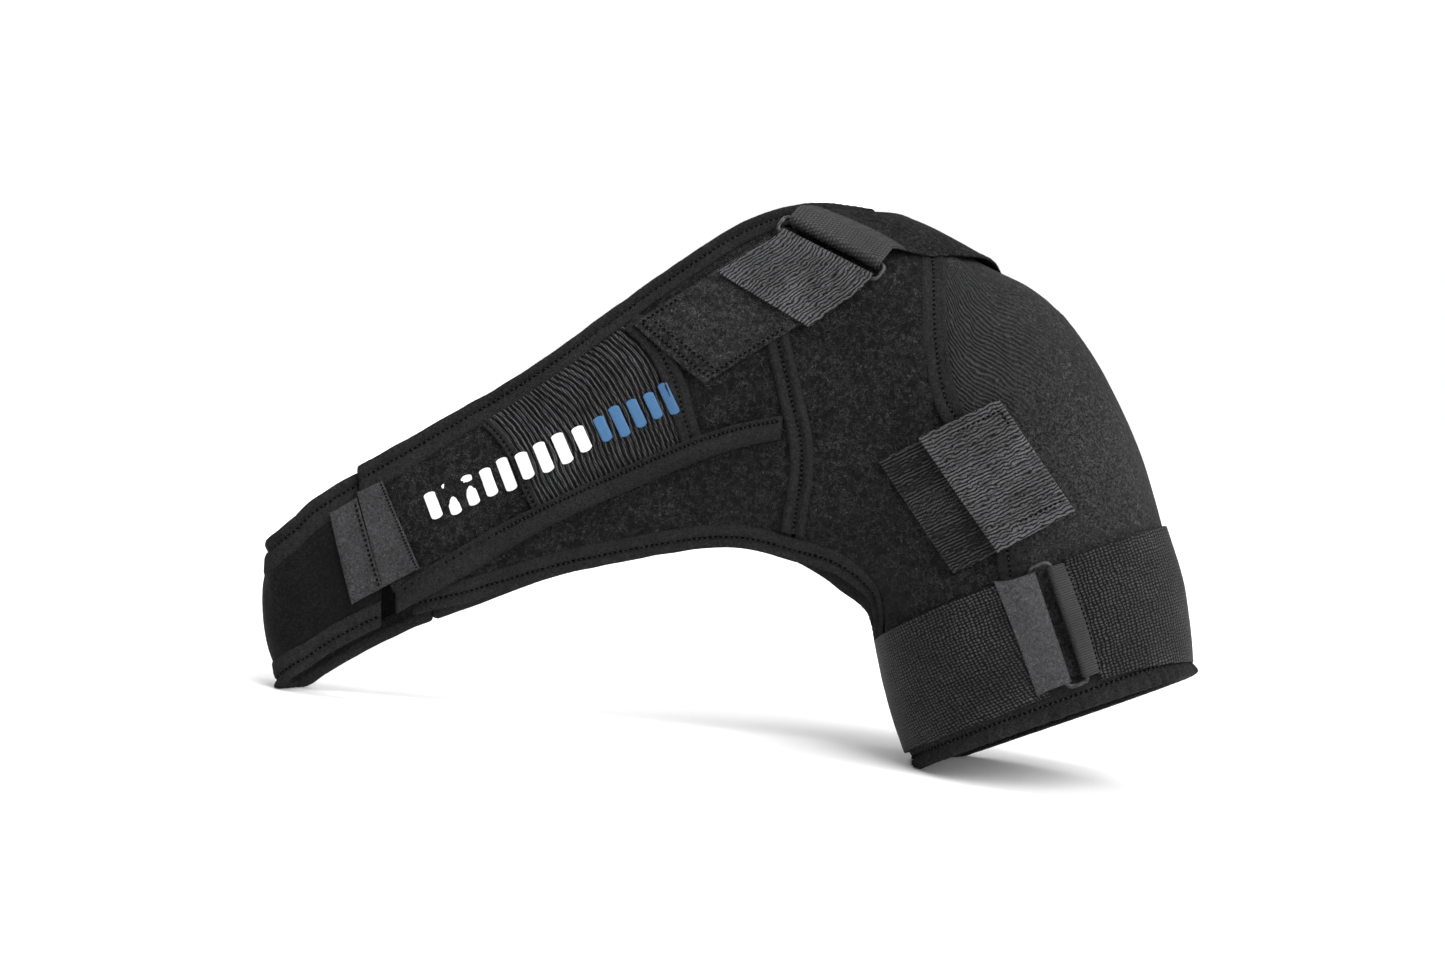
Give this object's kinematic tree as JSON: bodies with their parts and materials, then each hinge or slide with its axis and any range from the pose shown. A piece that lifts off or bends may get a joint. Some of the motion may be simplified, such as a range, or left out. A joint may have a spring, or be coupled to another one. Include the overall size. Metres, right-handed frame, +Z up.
{
  "type": "cold compression shoulder wrap",
  "caption": "Padded fabric wrap with a chest band, a domed shoulder and an arm sleeve, closed by hook tabs and strap rings, with gel packs in inner pockets.",
  "frame": {"origin": "centre of the bounding box, on the ground under the wrap", "axes": "+X from the left end of the chest band to the sleeve, +Y towards the back, +Z up"},
  "size_m": [0.459, 0.1276, 0.2675],
  "materials": {
    "fleece": "curly loop fleece over foam, matt",
    "neoprene": "smooth knit over foam, matt",
    "binding": "folded knit edging with a zigzag stitch",
    "webbing": "woven elastic webbing, low sheen",
    "felt": "grey hook felt",
    "liner": "thin knit lining",
    "ring_wire": "grey coated wire",
    "gel": "gel in a thin blue film"
  },
  "bodies": {
    "wrap": {"side_wrap": "neoprene", "chest_panel": "fleece", "front_strap_left": "fleece", "ribbed_insert": "webbing", "front_strap_right": "fleece", "front_shoulder_panel": "fleece", "back_shoulder_panel": "fleece", "deltoid_panel": "neoprene", "sleeve_panel": "fleece", "back_chest_panel": "fleece", "side_top_binding": "binding", "side_lower_binding": "binding", "strap_top_binding": "binding", "front_lower_binding": "binding", "back_top_binding": "binding", "back_lower_binding": "binding", "cuff_hem_binding": "binding", "front_chest_seam_tape": "binding", "back_chest_seam_tape": "binding", "front_deltoid_seam_tape": "binding", "back_deltoid_seam_tape": "binding", "strap_lower_binding": "binding", "insert_tape_left": "binding", "insert_tape_right": "binding", "side_tab_base": "felt", "deltoid_tab_base": "webbing", "arm_strap": "webbing", "arm_ring_loop": "webbing", "top_strap_base": "fleece", "shoulder_yoke": "fleece", "gel_pack_front": "gel", "gel_pocket_front": "liner", "gel_pack_back": "gel", "gel_pocket_back": "liner"},
    "side_tab": {"side_tab_flap": "felt"},
    "deltoid_tab": {"deltoid_tab_flap": "webbing"},
    "top_ring_body": {"top_ring": "ring_wire"},
    "top_strap": {"top_strap_flap": "webbing"},
    "arm_ring_body": {"arm_ring": "ring_wire"},
    "arm_tab": {"arm_strap_tab": "felt"}
  },
  "joints": [
    {"name": "side_tab_peel", "type": "hinge", "parent": "wrap", "child": "side_tab", "pos_m": [-0.18725, -0.02422, 0.10234], "axis": [0.3813, -0.1006, -0.919], "range_deg": [0, 120]},
    {"name": "deltoid_tab_peel", "type": "hinge", "parent": "wrap", "child": "deltoid_tab", "pos_m": [0.11544, -0.06024, 0.18715], "axis": [-0.6598, -0.01, 0.7514], "range_deg": [0, 90]},
    {"name": "top_ring_swing", "type": "hinge", "parent": "wrap", "child": "top_ring_body", "pos_m": [0.0297, -0.03209, 0.25153], "axis": [-0.8969, 0.3021, 0.323], "range_deg": [0, 30]},
    {"name": "top_strap_peel", "type": "hinge", "parent": "top_ring_body", "child": "top_strap", "pos_m": [0.02557, -0.03656, 0.24424], "axis": [-0.8969, 0.3021, 0.323], "range_deg": [0, 90]},
    {"name": "arm_ring_swing", "type": "hinge", "parent": "wrap", "child": "arm_ring_body", "pos_m": [0.16146, -0.0604, 0.08552], "axis": [-0.4316, 0.0071, 0.902], "range_deg": [0, 30]},
    {"name": "arm_strap_peel", "type": "hinge", "parent": "arm_ring_body", "child": "arm_tab", "pos_m": [0.152, -0.06106, 0.081], "axis": [-0.4316, 0.0071, 0.902], "range_deg": [0, 90]}
  ]
}
